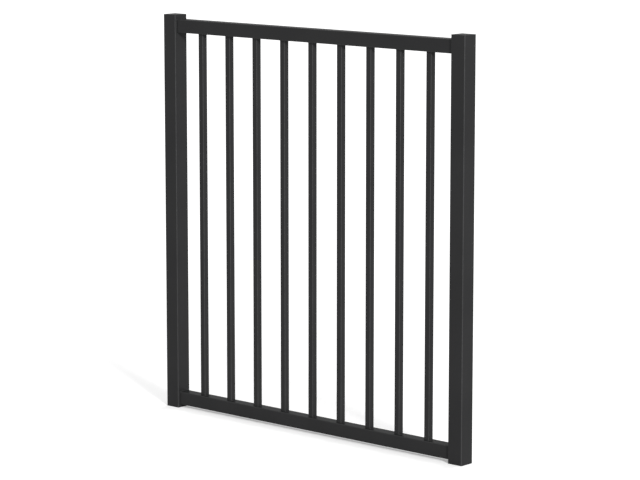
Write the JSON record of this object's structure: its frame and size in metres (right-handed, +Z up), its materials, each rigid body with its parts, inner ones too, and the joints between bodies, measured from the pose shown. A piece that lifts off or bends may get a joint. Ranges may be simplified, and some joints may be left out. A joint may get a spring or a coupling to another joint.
{
  "type": "pedestrian gate leaf",
  "caption": "Rigid pedestrian gate leaf of coated square tube: two capped stiles, top and bottom rail, and a row of upright square pickets between them.",
  "frame": {"origin": "mid-height on the outer face of the hinge stile, in the middle of the leaf's thickness", "axes": "+X along the leaf from the hinge side to the latch side, +Y from front to back, +Z up"},
  "size_m": [1.204, 0.0508, 1.244],
  "materials": {
    "coated_metal": "satin"
  },
  "bodies": {
    "root": {"hinge_stile": "coated_metal", "latch_stile": "coated_metal", "hinge_stile_top_cap": "coated_metal", "hinge_stile_foot_cap": "coated_metal", "latch_stile_top_cap": "coated_metal", "latch_stile_foot_cap": "coated_metal", "top_rail": "coated_metal", "bottom_rail": "coated_metal", "picket_1": "coated_metal", "picket_2": "coated_metal", "picket_3": "coated_metal", "picket_4": "coated_metal", "picket_5": "coated_metal", "picket_6": "coated_metal", "picket_7": "coated_metal", "picket_8": "coated_metal", "picket_9": "coated_metal"}
  },
  "joints": []
}
